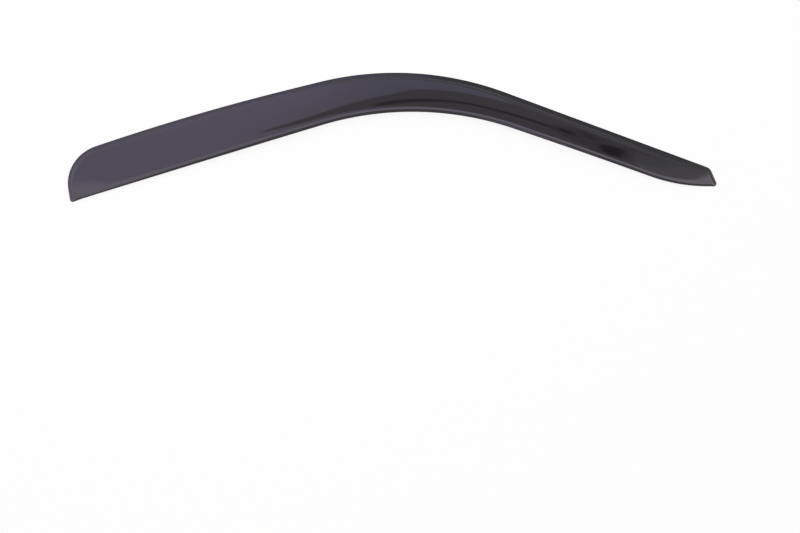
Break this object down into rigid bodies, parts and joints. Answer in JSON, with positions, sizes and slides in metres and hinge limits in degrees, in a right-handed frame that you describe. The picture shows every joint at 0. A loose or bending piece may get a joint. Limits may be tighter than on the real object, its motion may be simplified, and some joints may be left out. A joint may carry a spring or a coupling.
{
  "type": "window rain deflector",
  "caption": "Long bent rain deflector for a car's front side window: a smoke acrylic hood with a taped flange, a bulging face and a rolled lower lip.",
  "frame": {"origin": "centre of the outline, on the plane of the door frame that the tape sticks to", "axes": "+X from the wide rear end to the narrow front tip, +Y up to the roof edge of the window, +Z outwards from the door"},
  "size_m": [0.989, 0.21, 0.0167],
  "materials": {
    "smoke_acrylic": "polished dark smoke acrylic, near black with a violet-grey sheen",
    "foam_tape": "matt closed-cell foam with an adhesive skin"
  },
  "bodies": {
    "root": {"visor": "smoke_acrylic", "mounting_tape": "foam_tape"}
  },
  "joints": []
}
